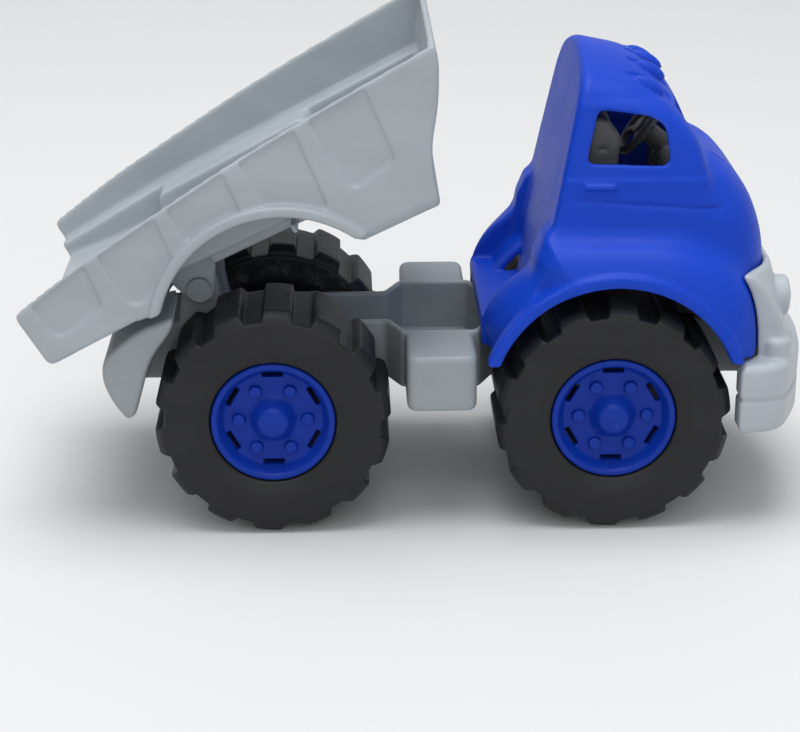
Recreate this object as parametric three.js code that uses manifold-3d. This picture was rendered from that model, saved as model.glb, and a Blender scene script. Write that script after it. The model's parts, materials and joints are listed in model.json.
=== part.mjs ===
// A moulded toy dump truck with a tipping bed, in millimetres.
// +X is forward, +Y is the truck's left side, +Z is up and z = 0 is the floor under the tyres.
import * as THREE from 'three';
import { mergeVertices } from 'three/addons/utils/BufferGeometryUtils.js';
import Module from 'manifold-3d';

const wasm = await Module();
wasm.setup();

// Driving dimensions; TREAD_PHASE is the angle of the first tread lug from the top, in degrees.
const GAP = 0.3;
const WALL = 2.4;
const WHEELBASE = 122;
const TYRE_RADIUS = 42.5;
const TYRE_OUTER_Y = 58.5;
const TYRE_INNER_Y = 20.5;
const TREAD_DEPTH = 3.6;
const TREAD_LUGS = 14;
const TREAD_PHASE = 3.4;
const BORE_RADIUS = 22.6;
const HUB_FACE_Y = 56.5;
const HUB_RADIUS = BORE_RADIUS - GAP;
const WHEEL_SPOTS = 6;
const HUB_CAP_DEPTH = 3;
const HUB_DISH_DEPTH = 5;
const HUB_BARREL_DEPTH = 24;
const NUT_CIRCLE_RADIUS = 12.2;
const NUT_RADIUS = 2.3;
const AXLE_RADIUS = 3;
const AXLE_CLEARANCE = 0.4;
const SCREW_SHANK_RADIUS = 1.7;
const SCREW_HEAD_RADIUS = 3.4;
const SCREW_HEAD_HEIGHT = 1.6;
const RAIL_TOP = 67.5;
const RAIL_BOTTOM = 45.5;
const RAIL_NARROW_Y = 17.5;
const RAIL_WIDE_Y = 30.5;
const SLANT_SHARE = 0.64;
const HINGE_X = -88;
const HINGE_Z = 82;
const HINGE_PIN_RADIUS = 3;
const HINGE_EYE_RADIUS = 5.8;
const BED_TILT = THREE.MathUtils.degToRad(25.5);
const BED_HALF_WIDTH = 58.6;
const TRAY_HALF_WIDTH = 47;
const WELL_INNER_Y = 32.5;
const BED_FLOOR_Z = 97;
const BED_UNDERSIDE_Z = 90;
const BED_PANELS = 5;
const BED_PANEL_PITCH = 28.5;
const BED_ARCH_RADIUS = 44;
const BED_ARCH_LIP = 4;
const BED_ARCH_X = -62;
const BED_ARCH_Z = 62.6;
const CAB_HALF_WIDTH = 46;
const ROOF_HALF_WIDTH = 37;
const FENDER_HALF_WIDTH = 60;
const FENDER_INNER_Y = 34;
const FENDER_ARCH_RADIUS = 43.6;
const FENDER_ARCH_Z = 49;
const BUMPER_TOP = 66;
const BUMPER_BOTTOM = 37;
const FRONT_AXLE_X = WHEELBASE / 2;
const REAR_AXLE_X = -WHEELBASE / 2;

// Colours.
const BLUE = 0x2f57c4;
const HUB_BLUE = 0x1f47aa;
const LIGHT_GREY = 0xa9b1b6;
const FRAME_GREY = 0x8c9297;
const DARK_GREY = 0x55575b;
const TYRE_BLACK = 0x26272a;
const SCREW_STEEL = 0x8d8f92;

// ---- Solid helpers -------------------------------------------------------

function solid(geometry) {
  const bare = geometry.index ? geometry.clone() : geometry;
  bare.deleteAttribute('normal');
  bare.deleteAttribute('uv');
  const merged = mergeVertices(bare, 1e-4);
  const vertProperties = new Float32Array(merged.attributes.position.array);
  const triVerts = new Uint32Array(merged.index.array);
  return new wasm.Manifold(new wasm.Mesh({ numProp: 3, vertProperties, triVerts }));
}

function joinAll(solids) {
  return solids.reduce((whole, next) => whole.add(next));
}

function cutAll(body, tools) {
  return tools.reduce((whole, tool) => whole.subtract(tool), body);
}

function toGeometry(body) {
  const mesh = body.getMesh();
  const geometry = new THREE.BufferGeometry();
  geometry.setAttribute('position', new THREE.BufferAttribute(mesh.vertProperties, 3));
  geometry.setIndex(new THREE.BufferAttribute(mesh.triVerts, 1));
  return geometry;
}

// A box between two corners.
function block([x0, y0, z0], [x1, y1, z1]) {
  const box = new THREE.BoxGeometry(x1 - x0, y1 - y0, z1 - z0);
  box.translate((x0 + x1) / 2, (y0 + y1) / 2, (z0 + z1) / 2);
  return solid(box);
}

// The outline with each corner rounded; a point is [u, v] or [u, v, radius].
function rounded(points, radius = 0, steps = 3) {
  const path = [];
  points.forEach((point, i) => {
    const corner = new THREE.Vector2(point[0], point[1]);
    const before = points[(i + points.length - 1) % points.length];
    const after = points[(i + 1) % points.length];
    const toBefore = new THREE.Vector2(before[0], before[1]).sub(corner);
    const toAfter = new THREE.Vector2(after[0], after[1]).sub(corner);
    const size = Math.min(point[2] ?? radius, toBefore.length() * 0.45, toAfter.length() * 0.45);
    if (size === 0) {
      path.push(corner);
      return;
    }
    const start = corner.clone().addScaledVector(toBefore.normalize(), size);
    const end = corner.clone().addScaledVector(toAfter.normalize(), size);
    const curve = new THREE.QuadraticBezierCurve(start, corner, end);
    path.push(...curve.getPoints(steps));
  });
  return path;
}

function extrude(outline, depth, bevel = 0) {
  return new THREE.ExtrudeGeometry(new THREE.Shape(outline), {
    depth: depth - 2 * bevel,
    bevelEnabled: bevel > 0,
    bevelThickness: bevel,
    bevelSize: bevel,
    bevelOffset: -bevel,
    bevelSegments: 2,
  }).translate(0, 0, bevel);
}

// An outline in x and z, made solid from y0 to y1.
function plate(outline, y0, y1, bevel = 0) {
  const geometry = extrude(outline, y1 - y0, bevel);
  geometry.rotateX(Math.PI / 2);
  geometry.translate(0, y1, 0);
  return solid(geometry);
}

// An outline in x and y, made solid from z0 to z1.
function slab(outline, z0, z1, bevel = 0) {
  const geometry = extrude(outline, z1 - z0, bevel);
  geometry.translate(0, 0, z0);
  return solid(geometry);
}

// A cylinder across the truck, from y0 to y1.
function roundBar(x, z, radius, y0, y1, sides = 24) {
  const bar = new THREE.CylinderGeometry(radius, radius, y1 - y0, sides);
  bar.translate(x, (y0 + y1) / 2, z);
  return solid(bar);
}

// A cylinder that stands up, from z0 to z1.
function post(x, y, radius, z0, z1, sides = 16) {
  const bar = new THREE.CylinderGeometry(radius, radius, z1 - z0, sides);
  bar.rotateX(Math.PI / 2);
  bar.translate(x, y, (z0 + z1) / 2);
  return solid(bar);
}

// A solid turned about the y axis, from [radius, y] points.
function turned(profile, sides) {
  const points = profile.map(([radius, y]) => new THREE.Vector2(radius, y)).reverse();
  return solid(new THREE.LatheGeometry(points, sides));
}

// Both halves of a shape that is made on the left side.
function bothSides(make) {
  const left = make();
  return left.add(left.mirror([0, 1, 0]));
}

// A closed skin through level rings that all have the same number of points.
function loft(rings) {
  const size = rings[0].length;
  const positions = rings.flat().flatMap((p) => [p.x, p.y, p.z]);
  const index = [];
  for (let ring = 0; ring + 1 < rings.length; ring += 1) {
    for (let i = 0; i < size; i += 1) {
      const a = ring * size + i;
      const b = ring * size + (i + 1) % size;
      index.push(a, b, b + size);
      index.push(a, b + size, a + size);
    }
  }
  addCap(positions, index, rings[0], 0, true);
  addCap(positions, index, rings.at(-1), (rings.length - 1) * size, false);
  const geometry = new THREE.BufferGeometry();
  geometry.setAttribute('position', new THREE.Float32BufferAttribute(positions, 3));
  geometry.setIndex(index);
  return solid(geometry);
}

function addCap(positions, index, ring, first, facesDown) {
  const centre = new THREE.Vector3();
  ring.forEach((p) => centre.addScaledVector(p, 1 / ring.length));
  const middle = positions.length / 3;
  positions.push(centre.x, centre.y, centre.z);
  ring.forEach((_, i) => {
    const next = (i + 1) % ring.length;
    index.push(middle);
    index.push(facesDown ? first + next : first + i);
    index.push(facesDown ? first + i : first + next);
  });
}

// A level ring with a flat back and a rounded front, going round anticlockwise.
function cabRing(z, back, front, halfWidth, frontRadius, backRadius = 6) {
  const ring = [];
  const corners = [
    [back + backRadius, -halfWidth + backRadius, backRadius, backRadius, Math.PI],
    [front - frontRadius, -halfWidth + frontRadius * 0.8, frontRadius, frontRadius * 0.8, 1.5 * Math.PI],
    [front - frontRadius, halfWidth - frontRadius * 0.8, frontRadius, frontRadius * 0.8, 0],
    [back + backRadius, halfWidth - backRadius, backRadius, backRadius, 0.5 * Math.PI],
  ];
  const steps = 5;
  corners.forEach(([x, y, radiusX, radiusY, start]) => {
    for (let i = 0; i <= steps; i += 1) {
      const angle = start + (i / steps) * Math.PI / 2;
      ring.push(new THREE.Vector3(x + radiusX * Math.cos(angle), y + radiusY * Math.sin(angle), z));
    }
  });
  return ring;
}

// ---- Wheels --------------------------------------------------------------

// One tyre, made for the left side with its outer face at TYRE_OUTER_Y.
function tyreSolid() {
  const tread = TYRE_RADIUS - TREAD_DEPTH;
  const carcass = turned([
    [BORE_RADIUS, TYRE_INNER_Y + 4],
    [BORE_RADIUS, TYRE_OUTER_Y - 1],
    [BORE_RADIUS + 6, TYRE_OUTER_Y],
    [tread - 1, TYRE_OUTER_Y],
    [tread, TYRE_OUTER_Y - 1.5],
    [tread, TYRE_INNER_Y + 1.5],
    [tread - 1, TYRE_INNER_Y],
    [BORE_RADIUS + 6, TYRE_INNER_Y],
    [BORE_RADIUS, TYRE_INNER_Y + 4],
  ], 32);
  const lugs = [];
  for (let i = 0; i < TREAD_LUGS; i += 1) {
    lugs.push(treadLug().rotate([0, TREAD_PHASE + (i * 360) / TREAD_LUGS, 0]));
  }
  return carcass.add(joinAll(lugs));
}

function treadLug() {
  const foot = TYRE_RADIUS - TREAD_DEPTH - 2;
  const halfLength = 4.8;
  const outline = rounded([
    [-halfLength, foot],
    [halfLength, foot],
    [halfLength - 0.5, TYRE_RADIUS - 0.2],
    [-halfLength + 0.5, TYRE_RADIUS - 0.2],
  ]);
  return plate(outline, TYRE_INNER_Y + 2, TYRE_OUTER_Y - 2);
}

// One hub, made for the left side with its rim face at HUB_FACE_Y.
function hubSolid() {
  const dish = HUB_FACE_Y - HUB_DISH_DEPTH;
  const back = dish - 3;
  const body = turned([
    [AXLE_RADIUS + GAP, TYRE_INNER_Y + 6],
    [AXLE_RADIUS + GAP, HUB_FACE_Y - HUB_CAP_DEPTH],
    [0, HUB_FACE_Y - HUB_CAP_DEPTH],
    [0, HUB_FACE_Y + 1.5],
    [3.5, HUB_FACE_Y + 1],
    [6, HUB_FACE_Y - 1],
    [7.5, dish],
    [18.6, dish],
    [20, HUB_FACE_Y],
    [HUB_RADIUS, HUB_FACE_Y],
    [HUB_RADIUS, HUB_FACE_Y - HUB_BARREL_DEPTH],
    [HUB_RADIUS - WALL, HUB_FACE_Y - HUB_BARREL_DEPTH],
    [18.6, back],
    [AXLE_RADIUS + GAP + 3, back],
    [AXLE_RADIUS + GAP + 2.5, TYRE_INNER_Y + 6],
    [AXLE_RADIUS + GAP, TYRE_INNER_Y + 6],
  ], 28);
  const nuts = [];
  const slots = [];
  for (let i = 0; i < WHEEL_SPOTS; i += 1) {
    const angle = (i * 2 * Math.PI) / WHEEL_SPOTS;
    const x = NUT_CIRCLE_RADIUS * Math.cos(angle);
    const z = NUT_CIRCLE_RADIUS * Math.sin(angle);
    nuts.push(roundBar(x, z, NUT_RADIUS, dish - 1, dish + 2.2, 10));
    slots.push(hubSlot(back, dish).rotate([0, i * (360 / WHEEL_SPOTS), 0]));
  }
  return cutAll(joinAll([body, ...nuts]), slots);
}

function hubSlot(back, dish) {
  const outline = rounded([[-3.6, 15.4], [3.6, 15.4], [3.2, 17.6], [-3.2, 17.6]]);
  return plate(outline, back - 2, dish + 2);
}

// ---- Chassis -------------------------------------------------------------

// The plan of the frame: narrow between the wheels of a pair and wide between the axles.
// SLANT_SHARE moves the slanted stretches so that their wall is as thick as the others.
function framePlan(inset) {
  const narrow = RAIL_NARROW_Y - inset;
  const wide = RAIL_WIDE_Y - inset;
  const half = [
    [-112 + inset, narrow],
    [-20 + inset * SLANT_SHARE, narrow],
    [-14 + inset * SLANT_SHARE, wide],
    [14 - inset * SLANT_SHARE, wide],
    [20 - inset * SLANT_SHARE, narrow],
    [117.5 - inset, narrow],
  ];
  const mirrored = half.map(([x, y]) => [x, -y]);
  return rounded([...mirrored, ...half.reverse()]);
}

function chassisSolid() {
  const channel = slab(framePlan(0), RAIL_BOTTOM, RAIL_TOP);
  const hollow = slab(framePlan(WALL), RAIL_BOTTOM + WALL, RAIL_TOP + 5);
  const deckX = -45;
  const rearDeck = block([-111, -RAIL_NARROW_Y, RAIL_TOP - WALL], [deckX, RAIL_NARROW_Y, RAIL_TOP]);
  const bulkhead = block([deckX - WALL, -RAIL_NARROW_Y, RAIL_BOTTOM + 1], [deckX, RAIL_NARROW_Y, RAIL_TOP]);
  const shell = joinAll([channel.subtract(hollow), rearDeck, bulkhead, ...axleCarriers()]);
  const body = joinAll([shell, bothSides(tankSolid), bothSides(mudguardSolid), bothSides(hingePost)]);
  const drainWindow = block([-108, -14, RAIL_BOTTOM - 1], [-80, 14, RAIL_BOTTOM + WALL + 1]);
  const bores = [FRONT_AXLE_X, REAR_AXLE_X].map((x) => (
    roundBar(x, TYRE_RADIUS, AXLE_RADIUS + AXLE_CLEARANCE, -40, 40, 20)));
  const pinBore = roundBar(HINGE_X, HINGE_Z, HINGE_PIN_RADIUS + GAP, -60, 60, 20);
  return cutAll(body, [...bores, ...screwHoles(), pinBore, drainWindow]);
}

// Blocks under the floor that carry the axles.
function axleCarriers() {
  return [FRONT_AXLE_X, REAR_AXLE_X].map((x) => block(
    [x - 8, -RAIL_NARROW_Y, TYRE_RADIUS - 7], [x + 8, RAIL_NARROW_Y, RAIL_BOTTOM + 1]));
}

function screwPlaces() {
  return [[46, 10], [46, -10], [96, 10], [96, -10]];
}

function screwHoles() {
  return screwPlaces().map(([x, y]) => post(x, y, 2, RAIL_BOTTOM - 2, RAIL_BOTTOM + WALL + 2));
}

// The side box between the wheels, open underneath.
function tankSolid() {
  const outer = slab(rounded([[-13, 29], [12, 29], [12, 57, 4], [-13, 57, 4]]), 46, 67);
  const inner = slab(rounded([[-10.6, 32], [9.6, 32], [9.6, 54.6, 3], [-10.6, 54.6, 3]]), 44, 64.6);
  return outer.subtract(inner);
}

// The guard behind a rear wheel, with a round inner face that follows the tyre.
function mudguardSolid() {
  const outline = rounded([
    [-120.5, 67, 5],
    [-121.5, 59, 5],
    [-118, 50, 4],
    [-113, 43.5, 1.6],
    [-110, 45, 1.6],
    [-107, 55, 4],
    [-104, 66, 4],
    [-96, 77, 4],
    [-95, 82, 2],
    [-108, 77.5, 6],
  ]);
  const guard = plate(outline, RAIL_NARROW_Y - 1, 55);
  const wheelRoom = roundBar(REAR_AXLE_X, TYRE_RADIUS, TYRE_RADIUS + 4, RAIL_NARROW_Y, 60, 48);
  const earRoom = block([-108, RAIL_NARROW_Y, 72], [-90, 25.4, 90]);
  return cutAll(guard, [wheelRoom, earRoom]);
}

// The upright at the back of the frame that takes one end of the bed's hinge pin.
function hingePost() {
  const outline = rounded([
    [HINGE_X - 9, RAIL_TOP - 2],
    [HINGE_X + 10, RAIL_TOP - 2],
    [HINGE_X + 5.5, HINGE_Z + 5, 5],
    [HINGE_X - 5.5, HINGE_Z + 5, 5],
  ]);
  return plate(outline, 11, RAIL_NARROW_Y);
}

// ---- Bed -----------------------------------------------------------------

// The side outline of the bed while it lies level.
function bedOutline() {
  return rounded([
    [-141, 89, 3],
    [-106, 90.5],
    [-104, BED_UNDERSIDE_Z],
    [-20, BED_UNDERSIDE_Z],
    [-20, 81.5],
    [8, 81.5, 2],
    [9.5, 90, 4],
    [14, 102, 4],
    [22.5, 114.5, 6],
    [28.5, 127, 4],
    [30, 133.5, 2],
    [-10, 130.5],
    [-49, 127],
    [-84, 122],
    [-114, 117.6],
    [-143.5, 111, 3],
  ]);
}

function bedSolid() {
  const whole = plate(bedOutline(), -BED_HALF_WIDTH, BED_HALF_WIDTH);
  const skinY = BED_HALF_WIDTH - WALL;
  const upper = rounded([[-160, 102], [-95, 108.5], [18.2, 113], [26.5, 128], [28.5, 150], [-160, 150]]);
  const upperRoom = plate(upper, -skinY, skinY);
  const trayRoom = plate(rounded([
    [-160, BED_FLOOR_Z + 3],
    [-120, BED_FLOOR_Z],
    [6, BED_FLOOR_Z, 3],
    [18.7, 113.5],
    [26.5, 128],
    [28.5, 150],
    [-160, 150],
  ]), -TRAY_HALF_WIDTH, TRAY_HALF_WIDTH);
  const underRoom = plate(rounded([
    [4.6, 60],
    [4.6, 83],
    [6.4, BED_FLOOR_Z - WALL],
    [-120, BED_FLOOR_Z - WALL],
    [-138.5, BED_FLOOR_Z + 0.2],
    [-138.5, 60],
  ]), -skinY, skinY);
  const pocketWall = TRAY_HALF_WIDTH + WALL;
  const pocketTop = rounded([
    [-138.5, BED_UNDERSIDE_Z],
    [5.6, BED_UNDERSIDE_Z],
    [6.6, 94],
    [14.4, 109.4],
    [-95, 106],
    [-138.5, 101.2],
  ]);
  const pockets = bothSides(() => plate(pocketTop, pocketWall, skinY));
  const arch = roundBar(BED_ARCH_X, BED_ARCH_Z, BED_ARCH_RADIUS, -70, 70, 48);
  const archRoom = bothSides(() => arch.intersect(block([-140, WELL_INNER_Y + WALL, 60], [20, 70, 130])));
  const tray = cutAll(whole, [upperRoom, trayRoom, underRoom, pockets, ...panelRecesses()]);
  const shell = tray.add(bothSides(wheelWell)).subtract(archRoom);
  const bed = joinAll([shell, bothSides(archLip), bothSides(hingeEar), bothSides(floorRib)]);
  return bed.subtract(roundBar(HINGE_X, HINGE_Z, HINGE_PIN_RADIUS + AXLE_CLEARANCE, -40, 40, 20));
}

// The raised box in the tray that makes room for a rear wheel.
function wheelWell() {
  const outline = rounded([
    [-100, BED_FLOOR_Z - WALL],
    [-96, 108, 3],
    [-32, 111, 3],
    [-27, BED_FLOOR_Z - WALL],
  ]);
  return plate(outline, WELL_INNER_Y, TRAY_HALF_WIDTH + 1);
}

// The raised lip round the wheel opening.
function archLip() {
  const y0 = BED_HALF_WIDTH - WALL;
  const y1 = BED_HALF_WIDTH + 2.4;
  const ring = roundBar(BED_ARCH_X, BED_ARCH_Z, BED_ARCH_RADIUS + BED_ARCH_LIP, y0, y1, 48)
    .subtract(roundBar(BED_ARCH_X, BED_ARCH_Z, BED_ARCH_RADIUS, y0 - 1, y1 + 1, 48));
  const above = plate(rounded([[-120, 90.6], [-62, 88], [0, 81.6], [0, 130], [-120, 130]]), y0 - 1, y1 + 1);
  return ring.intersect(above);
}

// Shallow recesses in the sides, left between upright ribs.
function panelRecesses() {
  const panels = [];
  for (let i = 0; i < BED_PANELS; i += 1) {
    const back = -136 + i * BED_PANEL_PITCH;
    const end = back + BED_PANEL_PITCH - 5;
    const top = (x) => 109.5 + (x + 142) * 0.14;
    const low = 93 + i * 0.4;
    const outline = rounded([
      [back, low, 3],
      [end - 2, low, 3],
      [end, top(end)],
      [back - 1, top(back - 1)],
    ]);
    const keepOff = roundBar(BED_ARCH_X, BED_ARCH_Z, BED_ARCH_RADIUS + BED_ARCH_LIP, 0, 70, 48);
    panels.push(plate(outline, BED_HALF_WIDTH - 1, BED_HALF_WIDTH + 2).subtract(keepOff));
  }
  return panels.flatMap((panel) => [panel, panel.mirror([0, 1, 0])]);
}

// The ear under the bed floor that turns on the hinge pin.
function hingeEar() {
  const outline = rounded([
    [HINGE_X - 11, BED_FLOOR_Z - WALL + 0.5],
    [HINGE_X - HINGE_EYE_RADIUS, HINGE_Z - 1],
    [HINGE_X - 3, HINGE_Z - HINGE_EYE_RADIUS],
    [HINGE_X + 3, HINGE_Z - HINGE_EYE_RADIUS],
    [HINGE_X + HINGE_EYE_RADIUS, HINGE_Z - 1],
    [HINGE_X + 14, BED_FLOOR_Z - WALL + 0.5],
  ]);
  return plate(outline, RAIL_NARROW_Y + 0.6, RAIL_NARROW_Y + 4.4);
}

// A stiffening rib along the underside of the floor.
function floorRib() {
  return block([HINGE_X + 10, 26, BED_FLOOR_Z - WALL - 5], [8, 28.4, BED_FLOOR_Z - WALL + 0.5]);
}

// ---- Cab -----------------------------------------------------------------

function backWallX(z) {
  return 33 + (z - 83) * 0.2;
}

function cabBody(inset) {
  const lower = [
    [64, 114],
    [94, 117],
    [104, 115.5],
    [114, 112],
    [122, 107],
    [128.5, 100],
    [132, 90],
  ];
  const upper = [
    [118, 97, CAB_HALF_WIDTH - 1.5],
    [132, 93.5, CAB_HALF_WIDTH - 2.5],
    [146, 87.5, CAB_HALF_WIDTH - 5],
    [153, 83.5, ROOF_HALF_WIDTH + 2],
    [158.5, 78, ROOF_HALF_WIDTH - 1],
    [162.5, 72.5, ROOF_HALF_WIDTH - 10],
    [166, 66, ROOF_HALF_WIDTH - 20],
    [168.4, 61, ROOF_HALF_WIDTH - 27],
  ];
  const lowerRings = lower.map(([z, front], i) => {
    const level = z - (i === 0 ? inset * 4 : 0) - (i === lower.length - 1 ? inset : 0);
    const narrowing = Math.max(0, z - 112) * 0.28;
    return cabRing(level, backWallX(level) + inset, front - inset, CAB_HALF_WIDTH - narrowing - inset, 24);
  });
  const upperRings = upper.map(([z, front, halfWidth], i) => {
    const level = z - (i === 0 ? inset * 4 : 0) - (i === upper.length - 1 ? inset : 0);
    const radius = Math.min(14, halfWidth * 0.7);
    return cabRing(level, backWallX(level) + inset, front - inset, halfWidth - inset, radius, 5);
  });
  return loft(lowerRings).add(loft(upperRings));
}

// The side outline of a fender, round over the wheel.
function fenderOutline(inset) {
  return rounded([
    [13.5 + inset, 64 - inset * 3],
    [113.5 - inset, 64 - inset * 3],
    [111.5 - inset, 86 - inset, 8],
    [101 - inset, 99 - inset, 12],
    [80, 107 - inset, 10],
    [34 + inset, 107 - inset, 4],
    [31.5 + inset, 94.5 - inset, 4],
    [19 + inset, 84.5 - inset, 4],
    [14 + inset, 76 - inset, 4],
  ]);
}

function fenderSolid() {
  return plate(fenderOutline(0), FENDER_INNER_Y, FENDER_HALF_WIDTH, 2).intersect(fenderPlan());
}

// The fender's plan, which draws its rear corner in behind the cab.
function fenderPlan() {
  const plan = rounded([[11, 30], [120, 30], [120, 62], [34, 62], [33, 59.5, 4], [20, 55, 8], [11, 42, 6]]);
  return slab(plan, 50, 120);
}

function fenderRoom() {
  return plate(fenderOutline(WALL), FENDER_INNER_Y + WALL, FENDER_HALF_WIDTH - WALL);
}

function cabSolid() {
  const fenders = bothSides(fenderSolid);
  const bridge = block([14.5, -36, 69], [40, 36, 75]);
  const outer = joinAll([cabBody(0), fenders, bridge]);
  const floorLine = block([0, -70, 50], [130, 70, 64]);
  const wheelArches = roundBar(FRONT_AXLE_X, FENDER_ARCH_Z, FENDER_ARCH_RADIUS, -70, 70, 48)
    .subtract(block([0, -19, 0], [130, 19, 120]));
  const frameRoom = block([10, -33.6, 50], [125, 33.6, 68.5]);
  const rooms = [cabBody(WALL), bothSides(fenderRoom), floorLine, wheelArches, frameRoom];
  const shell = cutAll(outer, rooms);
  const lights = joinAll([-2, -1, 0, 1, 2].map(markerLight));
  return cutAll(joinAll([shell, lights.subtract(cabBody(WALL / 2))]), [...windows(), grilleSeat()]);
}

// A small streamlined lamp on the roof's front edge.
function markerLight(place) {
  const lamp = new THREE.SphereGeometry(1, 12, 6);
  lamp.scale(8, 3, 2.4);
  lamp.rotateY(0.42);
  lamp.translate(75 - place * place * 0.6, place * 13, 161.4 - place * place * 0.9);
  return solid(lamp);
}

function windows() {
  const side = plate(rounded([
    [52, 130.5, 3],
    [80.5, 130.5, 3],
    [80, 142, 5],
    [75, 148.5, 5],
    [57, 150, 3],
  ]), -60, 60);
  const screen = block([78, -29, 134], [110, 29, 149.5])
    .subtract(block([78, -1.4, 130], [110, 1.4, 150]));
  return [side, screen];
}

function grilleSeat() {
  return block([112, -52, 60], [130, 52, 66]);
}

// The grille and the bumper, one moulding.
function grilleSolid() {
  const grille = plate(rounded([
    [118, BUMPER_TOP - 2],
    [126, BUMPER_TOP - 2],
    [123.6, 82, 3],
    [120, 93, 2],
    [118.4, 93],
  ]), -42, 42);
  const plan = rounded([
    [105.5, 60, 2],
    [105.5, 50],
    [115, 44],
    [118, 36],
    [118, -36],
    [115, -44],
    [105.5, -50],
    [105.5, -60, 2],
    [121.5, -58, 10],
    [131.6, -34, 10],
    [135, -10, 4],
    [135, 10, 4],
    [131.6, 34, 10],
    [121.5, 58, 10],
  ]);
  const bumper = slab(plan, BUMPER_BOTTOM, BUMPER_TOP - 3);
  const corners = bothSides(() => post(120, 46, 5, BUMPER_TOP - 8, BUMPER_TOP + 4));
  const lamps = bothSides(() => {
    const lamp = new THREE.CylinderGeometry(7, 7.6, 5, 20);
    lamp.rotateZ(-Math.PI / 2);
    lamp.translate(125, 30, 80);
    return solid(lamp);
  });
  return joinAll([grille, bumper, corners, lamps]);
}

// ---- Inside the cab ------------------------------------------------------

function interiorSolid() {
  const floor = block([40, -19, 69], [106, 19, 71.4]);
  const bench = plate(rounded([
    [42, 70],
    [70, 70],
    [70, 96, 5],
    [56, 97],
    [60.5, 146, 3],
    [53, 147, 3],
    [46, 97],
  ]), -31, 31, 1.5);
  const rolls = bothSides(() => plate(rounded([
    [55, 97],
    [60, 97],
    [63.5, 140, 3],
    [59, 144],
  ]), 24, 31, 1));
  const dash = plate(rounded([
    [88, 70],
    [94, 70],
    [94, 112],
    [92, 126, 3],
    [83, 124, 3],
    [82, 112, 3],
    [88, 108],
  ]), -33, 33, 1);
  const bosses = screwPlaces().map(([x, y]) => post(x, y, 4.2, RAIL_BOTTOM + WALL + GAP, 70));
  const column = wheelFrame(roundColumn(4, -16, -3));
  const pilots = screwPlaces().map(([x, y]) => post(x, y, 2, RAIL_BOTTOM, 68.5));
  const wheelRoom = bothSides(() => roundBar(FRONT_AXLE_X, TYRE_RADIUS, TYRE_RADIUS + 1.5, 19, 70, 48));
  return cutAll(joinAll([floor, bench, rolls, dash, ...bosses, column]), [...pilots, wheelRoom]);
}

// A short round bar along z, in the steering wheel's own frame.
function roundColumn(radius, z0, z1) {
  return post(0, 0, radius, z0, z1, 16);
}

// Puts a solid from the steering wheel's own frame into the cab.
function wheelFrame(body) {
  return body.rotate([0, -52, 0]).translate([77, 16, 132]);
}

function steeringWheelSolid() {
  const rim = solid(new THREE.TorusGeometry(11, 1.6, 8, 28));
  const hub = roundColumn(4, -2.6, 1.4);
  const spokes = [0, 120, 240].map((turn) => (
    block([1, -1.4, -0.8], [10.6, 1.4, 0.8]).rotate([0, 0, turn])));
  return wheelFrame(joinAll([rim, hub, ...spokes]));
}

// ---- Pins and screws -----------------------------------------------------

// An axle about the y axis, just shorter than the space between the hubs' closed ends.
function axleSolid() {
  const end = HUB_FACE_Y - HUB_CAP_DEPTH - AXLE_CLEARANCE;
  return roundBar(0, 0, AXLE_RADIUS, -end, end, 20);
}

// The pin that joins the bed's ear to the frame, with its head outside.
function hingePinSolid() {
  const shank = roundBar(HINGE_X, HINGE_Z, HINGE_PIN_RADIUS, 10.4, 22.6, 20);
  const head = roundBar(HINGE_X, HINGE_Z, HINGE_PIN_RADIUS + 1.4, 22.4, 24, 20);
  return shank.add(head);
}

function screwSolid(x, y) {
  const headTop = RAIL_BOTTOM - GAP;
  const shank = post(x, y, SCREW_SHANK_RADIUS, headTop - 0.7, 66);
  const head = post(x, y, SCREW_HEAD_RADIUS, headTop - SCREW_HEAD_HEIGHT, headTop);
  return shank.add(head);
}

// ---- Assembly ------------------------------------------------------------

function part(name, body, colour, roughness, metalness = 0) {
  const material = new THREE.MeshStandardMaterial({ color: colour, roughness, metalness });
  const mesh = new THREE.Mesh(toGeometry(body), material);
  mesh.name = name;
  return mesh;
}

function chassis() {
  const group = new THREE.Group();
  group.add(part('chassis_frame', chassisSolid(), FRAME_GREY, 0.55));
  group.add(part('cab_shell', cabSolid(), BLUE, 0.5));
  group.add(part('cab_interior', interiorSolid(), DARK_GREY, 0.6));
  group.add(part('steering_wheel', steeringWheelSolid(), DARK_GREY, 0.6));
  group.add(part('grille_bumper', grilleSolid(), LIGHT_GREY, 0.5));
  group.add(part('hinge_pin_left', hingePinSolid(), FRAME_GREY, 0.5));
  group.add(part('hinge_pin_right', hingePinSolid().mirror([0, 1, 0]), FRAME_GREY, 0.5));
  screwPlaces().forEach(([x, y], i) => {
    group.add(part(`cab_screw_${i + 1}`, screwSolid(x, y), SCREW_STEEL, 0.35, 1));
  });
  return group;
}

function wheelset(label, x) {
  const group = new THREE.Group();
  const tyre = tyreSolid();
  const hub = hubSolid();
  group.position.set(x, 0, TYRE_RADIUS);
  group.add(part(`tyre_${label}_left`, tyre, TYRE_BLACK, 0.75));
  group.add(part(`tyre_${label}_right`, tyre.mirror([0, 1, 0]), TYRE_BLACK, 0.75));
  group.add(part(`hub_${label}_left`, hub, HUB_BLUE, 0.45));
  group.add(part(`hub_${label}_right`, hub.mirror([0, 1, 0]), HUB_BLUE, 0.45));
  group.add(part(`axle_${label}`, axleSolid(), FRAME_GREY, 0.5));
  return group;
}

// The bed is drawn level, then turned up about its hinge.
function bed() {
  const body = bedSolid().translate([-HINGE_X, 0, -HINGE_Z]);
  const group = new THREE.Group();
  group.add(part('dump_bed', body, LIGHT_GREY, 0.5));
  group.position.set(HINGE_X, 0, HINGE_Z);
  group.rotation.y = -BED_TILT;
  return group;
}

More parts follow.
